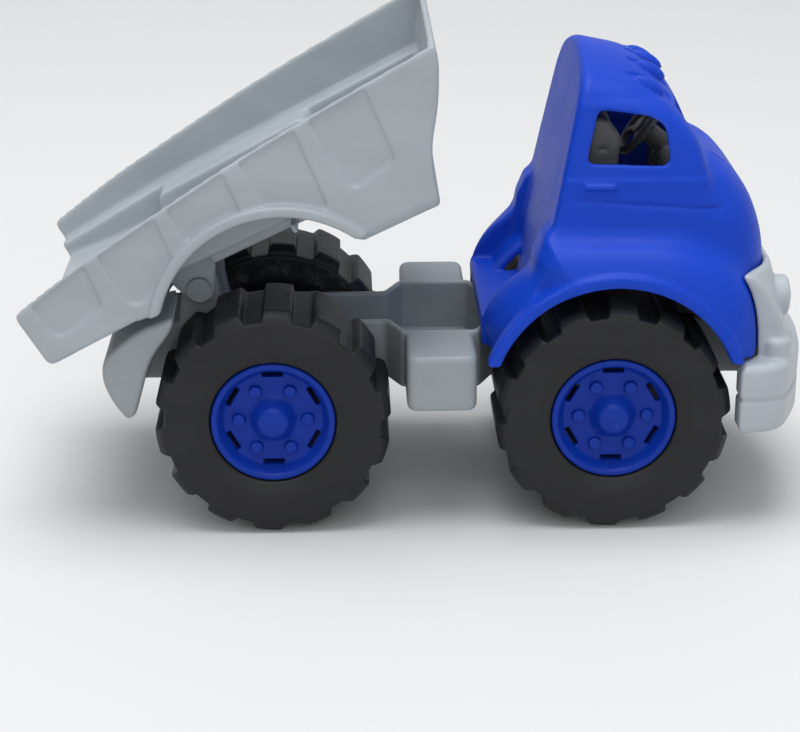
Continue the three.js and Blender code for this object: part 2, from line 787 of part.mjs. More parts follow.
// The origin is under the middle of the whole truck, on the floor.
function centred(group) {
  const box = new THREE.Box3().setFromObject(group, true);
  const middle = box.getCenter(new THREE.Vector3());
  group.position.set(-middle.x, -middle.y, -box.min.z);
  return group;
}

const truck = new THREE.Group();
truck.add(chassis(), wheelset('front', FRONT_AXLE_X), wheelset('rear', REAR_AXLE_X), bed());

export default centred(truck);
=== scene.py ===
"""The toy dump truck's finished look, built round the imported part.

Shapes are drawn in millimetres in the drawing frame: the axles are 61 mm either side of x = 0, +X is
forward, +Z is up and z = 0 is the floor. Each moulding is a distance field on a regular grid, turned
into a mesh, so that its edges and corners have the small radii of a moulded part.
"""

import json
import math

import bpy
import numpy as np
import openvdb
from mathutils import Matrix, Vector


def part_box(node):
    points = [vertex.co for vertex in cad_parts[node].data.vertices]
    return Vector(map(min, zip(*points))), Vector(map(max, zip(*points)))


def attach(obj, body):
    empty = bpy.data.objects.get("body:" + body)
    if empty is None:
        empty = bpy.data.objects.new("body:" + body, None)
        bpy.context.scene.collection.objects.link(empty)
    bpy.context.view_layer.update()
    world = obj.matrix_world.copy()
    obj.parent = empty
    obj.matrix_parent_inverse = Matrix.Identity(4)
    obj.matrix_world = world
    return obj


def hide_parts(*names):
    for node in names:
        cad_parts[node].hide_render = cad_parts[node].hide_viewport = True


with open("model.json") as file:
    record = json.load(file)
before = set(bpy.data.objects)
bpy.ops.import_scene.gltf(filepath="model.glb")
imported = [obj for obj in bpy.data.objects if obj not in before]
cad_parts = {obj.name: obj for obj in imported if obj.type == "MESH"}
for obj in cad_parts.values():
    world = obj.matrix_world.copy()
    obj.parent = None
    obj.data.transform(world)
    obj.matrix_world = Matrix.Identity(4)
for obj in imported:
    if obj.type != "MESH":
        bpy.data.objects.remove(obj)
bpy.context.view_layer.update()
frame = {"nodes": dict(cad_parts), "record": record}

# ---- Driving dimensions, in millimetres ----------------------------------

MM = 0.001
AXLE_X = 61.0
TYRE_RADIUS = 42.5
TREAD_DEPTH = 3.6
TREAD_LUGS = 14
TREAD_PHASE = math.radians(3.4)
TYRE_OUTER_Y = 58.5
TYRE_INNER_Y = 20.5
BORE_RADIUS = 22.6
HUB_FACE_Y = 56.5
HUB_RADIUS = 22.3
WHEEL_SPOTS = 6
WALL = 2.4
RAIL_TOP = 67.5
RAIL_BOTTOM = 45.5
RAIL_NARROW_Y = 17.5
RAIL_WIDE_Y = 30.5
SLANT_SHARE = 0.64
HINGE_X = -88.0
HINGE_Z = 82.0
BED_HALF_WIDTH = 58.6
TRAY_HALF_WIDTH = 47.0
WELL_INNER_Y = 32.5
BED_FLOOR_Z = 97.0
BED_ARCH = (-62.0, 62.6, 44.0)
BED_ARCH_LIP = 4.0
FENDER_ARCH = (61.0, 49.0, 43.6)
FENDER_INNER_Y = 34.0
FENDER_OUTER_Y = 60.0
FENDER_LIP_RADIUS = 48.0
BACK_WALL_SLOPE = 0.2
AXLE_BORE_RADIUS = 3.4
PIN_BORE_RADIUS = 3.3
SCREW_XS = (46, 96)
SCREW_Y = 10
SCREW_HOLE_RADIUS = 2
TYRE_CLEARANCE = 1.5

# ---- The camera, placed from the drawing origin in metres ------------------

CAMERA_PLACE = (-0.0341, -0.76299, 0.32658)
CAMERA_PITCH = math.radians(20.395)
CAMERA_YAW = math.radians(1.501)
CAMERA_ROLL = math.radians(-0.147)
CAMERA_LENS = 95.85
CAMERA_SENSOR = 36.0


def drawing_origin():
    """The drawing frame's origin in the row frame, in metres: the floor between the two axles."""
    low_front, high_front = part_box("axle_front")
    low_rear, high_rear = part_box("axle_rear")
    middle = (low_front + high_front + low_rear + high_rear) / 4
    return Vector((middle.x, middle.y, middle.z - TYRE_RADIUS * MM))


def bed_angle():
    """How far the bed is raised at rest, from the direction that its tray floor faces."""
    tray = next(m for m in frame["record"]["mounts"] if m["name"] == "tray_floor")
    axis = tray["axis"]
    return math.atan2(-axis[0], axis[2])


ORIGIN = drawing_origin()

# ---- Distance fields ------------------------------------------------------


class Grid:
    """Points on a regular grid from low to high, in millimetres."""

    def __init__(self, low, high, step):
        self.low = np.array(low, float)
        self.step = step
        axes = [np.arange(a - step, b + 2 * step, step, dtype=np.float32) for a, b in zip(low, high)]
        self.low -= step
        self.x, self.y, self.z = np.meshgrid(*axes, indexing="ij", sparse=True)
        self.side = np.abs(self.y)


def soft_min(a, b, size):
    """The lower of two fields, blended where they are within size of each other."""
    near = np.maximum(size - np.abs(a - b), 0) / size
    return np.minimum(a, b) - near * near * size / 4


def soft_max(a, b, size):
    return -soft_min(-a, -b, size)


def join(*fields, size=0.0):
    whole = fields[0]
    for other in fields[1:]:
        whole = soft_min(whole, other, size) if size else np.minimum(whole, other)
    return whole


def cut(body, *tools, size=0.6):
    for tool in tools:
        body = soft_max(body, -tool, size)
    return body


def round_off(a, b, radius):
    """Two faces that meet at a round outer edge of that radius."""
    u = a + radius
    v = b + radius
    return np.minimum(np.maximum(u, v), 0) + np.hypot(np.maximum(u, 0), np.maximum(v, 0)) - radius


def rounded(points, radius=0.0, steps=5):
    """The outline with round corners; a point is (u, v) or (u, v, radius)."""
    path = []
    count = len(points)
    for i, point in enumerate(points):
        corner = np.array(point[:2], float)
        before = np.array(points[i - 1][:2], float) - corner
        after = np.array(points[(i + 1) % count][:2], float) - corner
        size = point[2] if len(point) > 2 else radius
        size = min(size, np.hypot(*before) * 0.48, np.hypot(*after) * 0.48)
        if size <= 0:
            path.append(tuple(corner))
            continue
        start = corner + before / np.hypot(*before) * size
        end = corner + after / np.hypot(*after) * size
        for t in np.linspace(0, 1, steps):
            path.append(tuple((1 - t) ** 2 * start + 2 * t * (1 - t) * corner + t * t * end))
    return path


def outline(u, v, points):
    """Signed distance to a closed outline in two axes, negative inside."""
    shape = np.broadcast(u, v).shape
    nearest = np.full(shape, np.inf, np.float32)
    inside = np.zeros(shape, bool)
    for (u0, v0), (u1, v1) in zip(points, points[1:] + points[:1]):
        du, dv = u1 - u0, v1 - v0
        along = np.clip(((u - u0) * du + (v - v0) * dv) / (du * du + dv * dv + 1e-9), 0, 1)
        nearest = np.minimum(nearest, (u - u0 - du * along) ** 2 + (v - v0 - dv * along) ** 2)
        if dv:
            crosses = (v0 <= v) != (v1 <= v)
            inside ^= crosses & (u < u0 + (v - v0) * du / dv)
    distance = np.sqrt(nearest)
    return np.where(inside, -distance, distance).astype(np.float32)


def between(value, low, high):
    """Distance from a slab between two parallel planes."""
    return np.abs(value - (low + high) / 2) - (high - low) / 2


def plate(g, points, y0, y1, edge=0.8):
    """An outline in x and z, solid from y0 to y1 on both sides of the truck."""
    return round_off(outline(g.x, g.z, points), between(g.side, y0, y1), edge)


def slab(g, points, z0, z1, edge=0.8):
    """An outline in x and |y|, solid from z0 to z1."""
    return round_off(outline(g.x, g.side, points), between(g.z, z0, z1), edge)


def block(g, low, high, edge=0.6):
    """A box between two corners, in x, |y| and z."""
    flat = round_off(between(g.x, low[0], high[0]), between(g.side, low[1], high[1]), edge)
    return round_off(flat, between(g.z, low[2], high[2]), edge)


def upright(g, x, y, radius, z0, z1, edge=0.5):
    """A cylinder that stands up."""
    return round_off(np.hypot(g.x - x, g.side - y) - radius, between(g.z, z0, z1), edge)


def level(z, pairs):
    """A value that changes with height, from (z, value) pairs."""
    heights, values = zip(*pairs)
    return np.interp(z, heights, values).astype(np.float32)


# ---- From a field to a mesh -----------------------------------------------


def sample(values, places):
    """Values of an array between its grid points."""
    base = np.clip(np.floor(places).astype(int), 0, np.array(values.shape) - 2)
    part = (places - base).astype(np.float32)
    total = np.zeros(len(places), np.float32)
    for corner in np.ndindex(2, 2, 2):
        index = base + corner
        weight = np.prod(np.where(np.array(corner) == 1, part, 1 - part), axis=1)
        total += weight * values[index[:, 0], index[:, 1], index[:, 2]]
    return total


def settle(field, places):
    """Moves the points onto the field's zero surface."""
    half = 0.25
    limit = 0.4
    for _ in range(2):
        value = sample(field, places)
        slope = np.stack([
            sample(field, places + half * axis) - sample(field, places - half * axis)
            for axis in np.eye(3)
        ], axis=1) / (2 * half)
        size = np.maximum(np.sum(slope * slope, axis=1), 1e-6)
        move = -slope * (value / size)[:, None]
        length = np.maximum(np.linalg.norm(move, axis=1), 1e-9)
        places = places + move * np.minimum(1, limit / length)[:, None]
    return places


def surface(grid, field):
    """The points, in millimetres, and the outward quads of a field's zero surface."""
    shape = np.broadcast(grid.x, grid.y, grid.z).shape
    field = np.ascontiguousarray(np.broadcast_to(field, shape), np.float32)
    cells = openvdb.FloatGrid(float(3 * grid.step))
    cells.copyFromArray(np.clip(field, -3 * grid.step, 3 * grid.step))
    places, quads = cells.convertToQuads()
    places = settle(field / grid.step, places.astype(float))
    points = grid.low + places * grid.step
    a, b, c = (points[quads[:, i]] for i in range(3))
    if np.einsum("ij,ij->", a, np.cross(b, c)) < 0:
        quads = quads[:, ::-1]
    return points, quads


def in_row_frame(points):
    return np.array(ORIGIN) + points * MM


def make_piece(name, points, quads, material, body, node):
    """A smooth mesh that stands for a CAD node and rides on its body."""
    mesh = bpy.data.meshes.new(name)
    mesh.from_pydata(points.tolist(), [], quads.tolist())
    mesh.shade_smooth()
    mesh.update()
    piece = bpy.data.objects.new(name, mesh)
    bpy.context.scene.collection.objects.link(piece)
    mesh.materials.append(material)
    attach(piece, body)
    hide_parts(node)
    return piece


# ---- Wheels ----------------------------------------------------------------


def tyre_surface():
    """One left tyre, with the axle along y through the origin."""
    reach = TYRE_RADIUS + 0.5
    g = Grid((-reach, TYRE_INNER_Y - 0.5, -reach), (reach, TYRE_OUTER_Y + 0.5, reach), 0.5)
    radius = np.hypot(g.x, g.z)
    tread = TYRE_RADIUS - TREAD_DEPTH
    carcass = outline(radius, g.y, rounded([
        (BORE_RADIUS, TYRE_INNER_Y + 4, 1),
        (BORE_RADIUS, TYRE_OUTER_Y - 2.2, 1),
        (BORE_RADIUS + 5.2, TYRE_OUTER_Y, 1.6),
        (tread - 0.2, TYRE_OUTER_Y, 1.2),
        (tread, TYRE_OUTER_Y - 3, 1),
        (tread, TYRE_INNER_Y + 3, 1),
        (tread - 0.2, TYRE_INNER_Y, 1.2),
        (BORE_RADIUS + 6, TYRE_INNER_Y, 1.6),
    ], steps=4))
    pitch = 2 * math.pi / TREAD_LUGS
    turn = np.arctan2(g.x, g.z) - TREAD_PHASE
    across = np.abs((turn + pitch / 2) % pitch - pitch / 2) * radius
    crown = TYRE_RADIUS - 0.2
    shoulder = np.minimum(TYRE_OUTER_Y - 3.4 - g.y, g.y - TYRE_INNER_Y - 3.4) * 0.9
    top = soft_max(radius - crown, radius - crown - shoulder, 1.0)
    flank = across - 4.9 - (crown - radius) * 0.2
    ends = between(g.y, TYRE_INNER_Y + 0.9, TYRE_OUTER_Y - 0.5)
    lugs = soft_max(soft_max(flank, top, 0.6), ends, 0.5)
    lugs = np.maximum(lugs, tread - 3 - radius)
    return surface(g, soft_min(carcass, lugs, 0.4))


def hub_surface():
    """One left hub, with the axle along y through the origin."""
    reach = HUB_RADIUS + 0.4
    g = Grid((-reach, TYRE_INNER_Y + 5.6, -reach), (reach, HUB_FACE_Y + 2.2, reach), 0.36)
    radius = np.hypot(g.x, g.z)
    dish = HUB_FACE_Y - 5
    back = dish - 3
    bore = 3.3
    body = outline(radius, g.y, rounded([
        (bore, TYRE_INNER_Y + 6),
        (bore, HUB_FACE_Y - 3),
        (-1, HUB_FACE_Y - 3),
        (-1, HUB_FACE_Y + 1.9),
        (0.6, HUB_FACE_Y + 1.9),
        (5.2, HUB_FACE_Y + 1.2, 2.4),
        (6.6, HUB_FACE_Y - 2, 1.5),
        (8.2, dish, 2),
        (17.9, dish, 1.2),
        (19.7, HUB_FACE_Y - 0.9, 1),
        (20.4, HUB_FACE_Y, 0.8),
        (HUB_RADIUS, HUB_FACE_Y - 0.2, 0.9),
        (HUB_RADIUS, HUB_FACE_Y - 24),
        (HUB_RADIUS - WALL, HUB_FACE_Y - 24),
        (18.6, back, 1),
        (6.8, back, 1),
        (5.8, TYRE_INNER_Y + 6),
    ], steps=4))
    turn = np.arctan2(g.z, g.x)
    sixth = 2 * math.pi / WHEEL_SPOTS
    near_nut = (turn + sixth / 2) % sixth - sixth / 2
    nut = np.hypot(radius * np.cos(near_nut) - 12.3, radius * np.sin(near_nut)) - 2.25
    nuts = round_off(nut, between(g.y, dish - 1, dish + 2.5), 0.7)
    near_slot = turn % sixth - sixth / 2
    slot = round_off(
        between(radius * np.cos(near_slot), 15.9, 17.7),
        np.abs(radius * np.sin(near_slot)) - 3.8,
        0.5,
    )
    slots = np.maximum(slot, between(g.y, back - 2, dish + 1.4))
    return surface(g, cut(soft_min(body, nuts, 0.8), slots, size=0.4))


def wheel_pieces(name, made, material):
    """The four copies of a wheel part; the right-hand ones are the same moulding turned round."""
    points, quads = made
    for label, x in (("front", AXLE_X), ("rear", -AXLE_X)):
        for side, sign in (("left", 1), ("right", -1)):
            turned = points * (1, sign, 1)
            faces = quads if sign > 0 else quads[:, ::-1]
            placed = in_row_frame(turned + (x, 0, TYRE_RADIUS))
            make_piece(
                f"{name}_{label}_{side}_look", placed, faces, material,
                f"{label}_wheelset", f"{name}_{label}_{side}",
            )


# ---- Chassis ---------------------------------------------------------------


def frame_plan(inset):
    """The frame's plan on one side: narrow at the wheels and wide between the axles."""
    narrow = RAIL_NARROW_Y - inset
    wide = RAIL_WIDE_Y - inset
    slant = inset * SLANT_SHARE
    return rounded([
        (-112 + inset, -5),
        (-112 + inset, narrow, 3),
        (-20 + slant, narrow, 2),
        (-14 + slant, wide, 2),
        (14 - slant, wide, 2),
        (20 - slant, narrow, 2),
        (117.5 - inset, narrow, 2),
        (117.5 - inset, -5),
    ])


def chassis_surface():
    g = Grid((-122, -58, 34), (118.5, 58, 88.5), 0.8)
    channel = slab(g, frame_plan(0), RAIL_BOTTOM, RAIL_TOP, 0.7)
    hollow = slab(g, frame_plan(WALL), RAIL_BOTTOM + WALL, RAIL_TOP + 6, 0.4)
    shell = cut(channel, hollow, size=0.8)
    deck = block(g, (-111, -20, RAIL_TOP - WALL), (-45, RAIL_NARROW_Y, RAIL_TOP))
    bulkhead = block(g, (-47.4, -20, RAIL_BOTTOM + 1), (-45, RAIL_NARROW_Y, RAIL_TOP))
    carriers = join(*[
        block(g, (x - 8, -20, TYRE_RADIUS - 7), (x + 8, RAIL_NARROW_Y, RAIL_BOTTOM + 1), 1.2)
        for x in (-AXLE_X, AXLE_X)
    ])
    ribs = join(*[
        block(g, (x - 1, -20, RAIL_BOTTOM + 1), (x + 1, RAIL_NARROW_Y, RAIL_BOTTOM + 7), 0.5)
        for x in (-26, 26)
    ])
    body = join(shell, deck, bulkhead, carriers, ribs, side_box(g), mudguard(g), hinge_post(g), size=1.0)
    bores = [np.hypot(g.x - x, g.z - TYRE_RADIUS) - AXLE_BORE_RADIUS for x in (-AXLE_X, AXLE_X)]
    pin = np.hypot(g.x - HINGE_X, g.z - HINGE_Z) - PIN_BORE_RADIUS
    screws = [np.hypot(g.x - x, g.side - SCREW_Y) - SCREW_HOLE_RADIUS for x in SCREW_XS]
    window = block(g, (-108, -20, RAIL_BOTTOM - 2), (-80, 14, RAIL_BOTTOM + WALL + 1), 1.5)
    return surface(g, cut(body, *bores, pin, *screws, window, size=0.5))


def side_box(g):
    """The box between the wheels, open underneath."""
    outer = slab(g, rounded([(-13, 28.5), (12, 28.5), (12, 57, 4.5), (-13, 57, 4.5)]), 46, 67, 2.2)
    inner = slab(g, rounded([(-10.6, 31.5), (9.6, 31.5), (9.6, 54.6, 3), (-10.6, 54.6, 3)]), 40, 64.6, 1.5)
    return cut(outer, inner, size=0.5)


def mudguard(g):
    """The guard behind a rear wheel, with a round inner face that follows the tyre."""
    guard = plate(g, rounded([
        (-120.5, 67, 6),
        (-121.5, 59, 6),
        (-118, 50, 5),
        (-113, 43.5, 2),
        (-110, 45, 2),
        (-107, 55, 5),
        (-104, 66, 5),
        (-96, 77, 4),
        (-95, 82, 2),
        (-108, 77.5, 7),
    ]), RAIL_NARROW_Y - 1, 55, 2.0)
    wheel_room = np.hypot(g.x + AXLE_X, g.z - TYRE_RADIUS) - TYRE_RADIUS - 4
    wheel_room = np.maximum(wheel_room, RAIL_NARROW_Y - g.side)
    ear_room = block(g, (-108, RAIL_NARROW_Y, 72), (-88, 25.4, 92), 1)
    return cut(guard, wheel_room, ear_room, size=1.2)


def hinge_post(g):
    return plate(g, rounded([
        (HINGE_X - 9, RAIL_TOP - 2),
        (HINGE_X + 10, RAIL_TOP - 2),
        (HINGE_X + 5.5, HINGE_Z + 5, 5),
        (HINGE_X - 5.5, HINGE_Z + 5, 5),
    ]), 11, RAIL_NARROW_Y, 0.9)


# ---- Bed -------------------------------------------------------------------


def bed_surface():
    """The bed as it lies level, before it is turned about its hinge."""
    g = Grid((-144.5, -61.5, 75), (32, 61.5, 135.5), 0.85)
    whole = plate(g, rounded([
        (-141, 89, 3),
        (-106, 90.5),
        (-104, 90),
        (-24, 90),
        (-24, 81.5),
        (8, 81.5, 2),
        (9.5, 90, 4),
        (14, 102, 4),
        (22.5, 114.5, 6),
        (28.5, 127, 4),
        (30, 133.5, 2),
        (-10, 130.5, 20),
        (-49, 127, 20),
        (-84, 122, 20),
        (-114, 117.6, 20),
        (-143.5, 111, 3),
    ]), -70, BED_HALF_WIDTH, 1.5)
    whole = soft_max(whole, g.side - BED_HALF_WIDTH + (85 - g.z) * 0.6, 0.6)
    skin = BED_HALF_WIDTH - WALL
    far = -70
    upper = plate(g, rounded([
        (-170, 101),
        (-95, 108.5),
        (18.2, 113),
        (26.5, 128),
        (28.5, 160),
        (-170, 160),
    ]), far, skin, 1)
    tray = plate(g, rounded([
        (-170, BED_FLOOR_Z + 3.5),
        (-120, BED_FLOOR_Z),
        (6, BED_FLOOR_Z, 3),
        (18.7, 113.5, 3),
        (26.5, 128, 2),
        (28.5, 160),
        (-170, 160),
    ]), far, TRAY_HALF_WIDTH, 1.5)
    under = plate(g, rounded([
        (4.6, 60),
        (4.6, 83),
        (6.4, BED_FLOOR_Z - WALL, 1),
        (-120, BED_FLOOR_Z - WALL),
        (-138.5, BED_FLOOR_Z + 0.2, 1),
        (-138.5, 60),
    ]), far, skin, 1)
    pocket = plate(g, rounded([
        (-138.5, 85),
        (5.6, 85),
        (6.6, 94),
        (14.4, 109.4, 2),
        (-95, 106),
        (-138.5, 101.2, 2),
    ]), TRAY_HALF_WIDTH + WALL, skin, 0.6)
    well = plate(g, rounded([
        (-100, BED_FLOOR_Z - WALL),
        (-96, 108.2, 3),
        (-32, 111.2, 3),
        (-27, BED_FLOOR_Z - WALL),
    ]), WELL_INNER_Y, TRAY_HALF_WIDTH + 2, 1.5)
    x, z, radius = BED_ARCH
    from_arch = np.hypot(g.x - x, g.z - z)
    arch = np.maximum(from_arch - radius, WELL_INNER_Y + WALL - g.side)
    shell = cut(whole, upper, tray, size=1.6)
    shell = cut(shell, under, pocket, size=0.6)
    shell = cut(shell, bed_panels(g, from_arch - radius - BED_ARCH_LIP), size=0.8)
    lip = round_off(
        between(from_arch, radius, radius + BED_ARCH_LIP),
        between(g.side, skin, BED_HALF_WIDTH + 2.2),
        1.3,
    )
    above = outline(g.x, g.z, [(-120, 90.6), (-62, 88), (0, 81.6), (0, 130), (-120, 130)])
    shell = cut(soft_min(shell, well, 1.5), arch, size=0.5)
    body = join(shell, soft_max(lip, above, 0.8), hinge_ear(g), floor_ribs(g), size=0.9)
    pin = np.hypot(g.x - HINGE_X, g.z - HINGE_Z) - 3.4
    return surface(g, cut(body, pin, size=0.4))


def bed_panels(g, outside_lip):
    """The shallow recesses in the sides, which run up to the rim."""
    panels = []
    spans = ((-136, -112.5, 97.5), (-107, -83, 96), (-77.5, -54.5, 96), (-48, -26, 96), (-20, 2, 100.5))
    for back, front, low in spans:
        panels.append(outline(g.x, g.z, rounded([
            (back + 2.5, low - 1, 5),
            (front - 1.2, low + 3, 1),
            (front, bed_rim_z(front) - 1.5, 1),
            (back, bed_rim_z(back) - 1.5, 1),
        ])))
    panel = soft_max(join(*panels), -outside_lip, 0.5)
    return round_off(panel, BED_HALF_WIDTH - 1.2 - g.side, 0.2)


def bed_rim_z(x):
    """The height of the bed's rim along its length."""
    return np.interp(x, (-143.5, -114, -84, -49, -10, 30), (111, 117.6, 122, 127, 130.5, 133.5))


def hinge_ear(g):
    foot = BED_FLOOR_Z - WALL + 0.5
    return plate(g, rounded([
        (HINGE_X - 11, foot),
        (HINGE_X - 5.8, HINGE_Z - 1, 3),
        (HINGE_X - 3, HINGE_Z - 5.8, 2.6),
        (HINGE_X + 3, HINGE_Z - 5.8, 2.6),
        (HINGE_X + 5.8, HINGE_Z - 1, 3),
        (HINGE_X + 14, foot),
    ]), RAIL_NARROW_Y + 0.6, RAIL_NARROW_Y + 4.4, 0.6)


def floor_ribs(g):
    ribs = [block(g, (HINGE_X + 10, 26, BED_FLOOR_Z - WALL - 5), (8, 28.4, BED_FLOOR_Z - WALL + 0.5), 0.5)]
    for x in (-44, -8):
        ribs.append(block(g, (x, -30, BED_FLOOR_Z - WALL - 3), (x + 2, 46, BED_FLOOR_Z - WALL + 0.5), 0.5))
    return join(*ribs)


# ---- Cab -------------------------------------------------------------------


def back_wall_x(z):
    return 33 + (z - 83) * BACK_WALL_SLOPE


def cab_body(g):
    """The cab's outer form: hood and doors below, the domed roof and pillars above."""
    hood = outline(g.x, g.z, rounded([
        (0, 50),
        (113.5, 50),
        (117.8, 95, 8),
        (116, 106, 8),
        (111, 119, 8),
        (102, 129, 8),
        (92, 134, 8),
        (60, 136),
        (0, 136),
    ]))
    doors = g.side - level(g.z, [(64, 46), (112, 46), (127, 44.9), (128.4, 43.9), (136, 42)])
    lower = soft_max(hood, doors, 27)
    crown = g.z + 0.0062 * g.side ** 2 * np.clip((g.z - 140) / 15, 0, 1)
    roof = outline(g.x, crown, rounded([
        (0, 100),
        (97.5, 100),
        (95.5, 124),
        (93, 134, 6),
        (88, 145, 6),
        (83.5, 153, 6),
        (77, 160.5, 8),
        (68, 165.3, 10),
        (50, 169, 3),
        (0, 169),
    ]))
    pillars = g.side - level(g.z, [
        (112, 45.4), (127, 44.9), (128.4, 43.9), (146, 41.3), (156, 39), (172, 37),
    ])
    upper = soft_max(roof, soft_max(pillars, g.side - 44.9, 1), 9)
    body = soft_min(lower, upper, 2.5)
    back = (back_wall_x(g.z) - g.x) / math.hypot(1, BACK_WALL_SLOPE)
    return soft_max(body, back, 3.5)


def fenders(g):
    """Both fenders: a rounded main part and a lower rear part drawn in behind the cab."""
    main = outline(g.x, g.z, rounded([
        (32, 60),
        (114, 60),
        (113, 78, 8),
        (109.5, 90, 10),
        (99, 101.5, 14),
        (84, 107.2, 12),
        (36, 108.2, 2),
        (32, 100, 2),
    ]))
    rear = outline(g.x, g.z, rounded([
        (16, 60),
        (36, 60),
        (36, 98),
        (31.5, 94.5, 4),
        (19, 84.5, 4),
        (14, 76, 4),
    ]))
    side = g.side - FENDER_OUTER_Y + 0.4
    drawn_in = ((34 - g.x) * 18 + (g.side - 60) * 23) / 29.2
    main = soft_max(main, side, 20)
    rear = soft_max(rear, soft_max(side, drawn_in, 10), 14)
    return soft_max(soft_min(main, rear, 3), FENDER_INNER_Y - g.side, 1.5)


def cab_surface():
    """The hollow cab, with its wheel arches, windows, lamps, handles and seams."""
    g = Grid((9.5, -61, 60.5), (119, 61, 171.5), 0.8)
    outer = soft_min(cab_body(g), fenders(g), 5)
    bridge = block(g, (14.5, -40, 60), (40, 36, 75), 1.5)
    outer = soft_min(outer, bridge, 1.5)
    shell = soft_max(outer, -(outer + WALL), 0.6)
    x, z, radius = FENDER_ARCH
    from_arch = np.hypot(g.x - x, g.z - z)
    lip = round_off(
        between(from_arch, radius, FENDER_LIP_RADIUS),
        between(g.side, 52, FENDER_OUTER_Y + 0.4),
        1.3,
    )
    shell = soft_min(shell, np.maximum(lip, 15.5 - g.x), 2)
    inner_arch = np.maximum(between(from_arch, radius, radius + WALL), between(g.side, 17, 36))
    inner_arch = np.maximum(inner_arch, np.maximum(between(g.x, 14.5, 40), 66 - g.z))
    shell = soft_min(shell, inner_arch, 0.8)
    wheel_room = np.maximum(from_arch - radius, 19 - g.side)
    frame_room = block(g, (0, -40, 40), (125, 33.6, 68.5), 0.6)
    shell = cut(shell, wheel_room, frame_room, size=0.7)
    shell = soft_max(shell, 64 - g.z, 0.7)
    lamps = roof_lamps(g)
    shell = cut(shell, np.maximum(lamps - 1.2, -(outer + 0.9)), size=0.3)
    shell = join(shell, lamps, size=0.3)
    shell = join(shell, door_handle(g), size=0.8)
    shell = cut(shell, side_window(g), windscreen(g), seams(g, outer), size=0.8)
    seat = block(g, (112, -60, 50), (140, 52, 66), 0.4)
    return surface(g, cut(shell, seat, size=0.5))


def side_window(g):
    """The window opening in both doors."""
    hole = outline(g.x, g.z, rounded([
        (50.3, 133, 3),
        (80, 132, 4),
        (77.8, 146, 4.5),
        (72.6, 149.2, 4.5),
        (54.3, 151.8, 3),
    ]))
    return np.maximum(hole, 25 - g.side)


def windscreen(g):
    hole = outline(g.side, g.z, rounded([(1.6, 134.5, 2), (33, 134.5, 3), (30, 149.5, 4), (1.6, 150.5, 2)]))
    return np.maximum(hole, 78 - g.x)


def roof_lamps(g):
    """Five streamlined lamps along the roof's front edge."""
    lamps = []
    for place in (-2, -1, 0, 1, 2):
        x = g.x - (76 - place * place * 0.6)
        y = g.y - place * 13
        z = g.z - (160.6 - place * place * 0.9)
        tilt = 0.52
        along = x * math.cos(tilt) - z * math.sin(tilt)
        height = x * math.sin(tilt) + z * math.cos(tilt)
        width = 2.8 + np.clip(along, -6, 6) * 0.1
        size = np.sqrt((along / 6.2) ** 2 + (y / width) ** 2 + (height / 2.6) ** 2)
        lamps.append((size - 1) * 2.2)
    return join(*lamps)


def door_handle(g):
    bar = round_off(between(g.x, 49.5, 61), between(g.z, 124.2, 126.2), 0.9)
    return round_off(bar, between(g.side, 43, 46.0), 0.7)


def seams(g, outer):
    """Fine moulded lines: one along the doors and one on each side of the hood."""
    door = round_off(np.abs(g.z - (120.5 - (g.x - 45) * 0.07)) - 0.35, between(g.x, 46, 99), 0.1)
    door = np.maximum(door, 38 - g.side)
    hood = round_off(np.abs(g.side - 20) - 0.45, between(g.x, 97, 111), 0.1)
    hood = np.maximum(hood, 116 - g.z)
    return np.maximum(np.minimum(door, hood), -(outer + 0.7))


# ---- Grille and bumper -----------------------------------------------------


def bumper_surface():
    g = Grid((104.5, -61, 36), (135.5, 61, 96), 0.62)
    cab = soft_min(cab_body(g), fenders(g), 5)
    thickness = level(g.z, [(62, 11), (78, 7.5), (93, 2.6)])
    front = cab - thickness
    face = soft_max(front, 0.35 - cab, 0.6)
    face = soft_max(face, round_off(between(g.z, 62, 93.5), g.side - 49, 2), 1.5)
    face = soft_max(face, 104.8 - g.x, 0.6)
    bars = join(*[between(g.z, 68.5 + i * 5, 71.1 + i * 5) for i in range(5)])
    mouth = round_off(g.side - 21, between(g.z, 66.5, 91), 1.2)
    mouth = soft_max(mouth, -(front + thickness * 0.45), 0.8)
    face = cut(face, soft_max(mouth, -bars, 0.8), size=0.8)
    plan = rounded([
        (105.5, 60.4, 2),
        (105.5, 50, 1),
        (115, 44, 2),
        (118, 36, 2),
        (118, -10),
        (135, -10),
        (135, 8, 8),
        (131.6, 34, 10),
        (121.5, 58.5, 10),
    ])
    bumper = slab(g, plan, 37, 63, 3.2)
    inner = slab(g, rounded([(108, 57.6), (108, 52), (116, 46), (120.5, 36), (120.5, -10), (132.4, -10),
                             (132.4, 8, 8), (129.2, 33, 8), (120, 55.5, 8)]), 30, 60.4, 0.8)
    bumper = cut(bumper, inner, size=0.5)
    groove = np.maximum(np.abs(g.z - 50) - 0.7, -(bumper + 0.7))
    bumper = cut(bumper, groove, size=0.8)
    posts = upright(g, 120, 46, 5.5, 57, 70, 2.4)
    ring = np.hypot(g.side - 30, g.z - 80)
    lamp = round_off(ring - 7.6, between(g.x, 113, 126.4), 1.8)
    glass = np.hypot(np.hypot(g.x - 118.4, g.side - 30), g.z - 80) - 9.2
    lamp = soft_min(lamp, np.maximum(glass, ring - 6), 0.5)
    return surface(g, join(face, bumper, posts, lamp, size=1.0))


# ---- Inside the cab --------------------------------------------------------


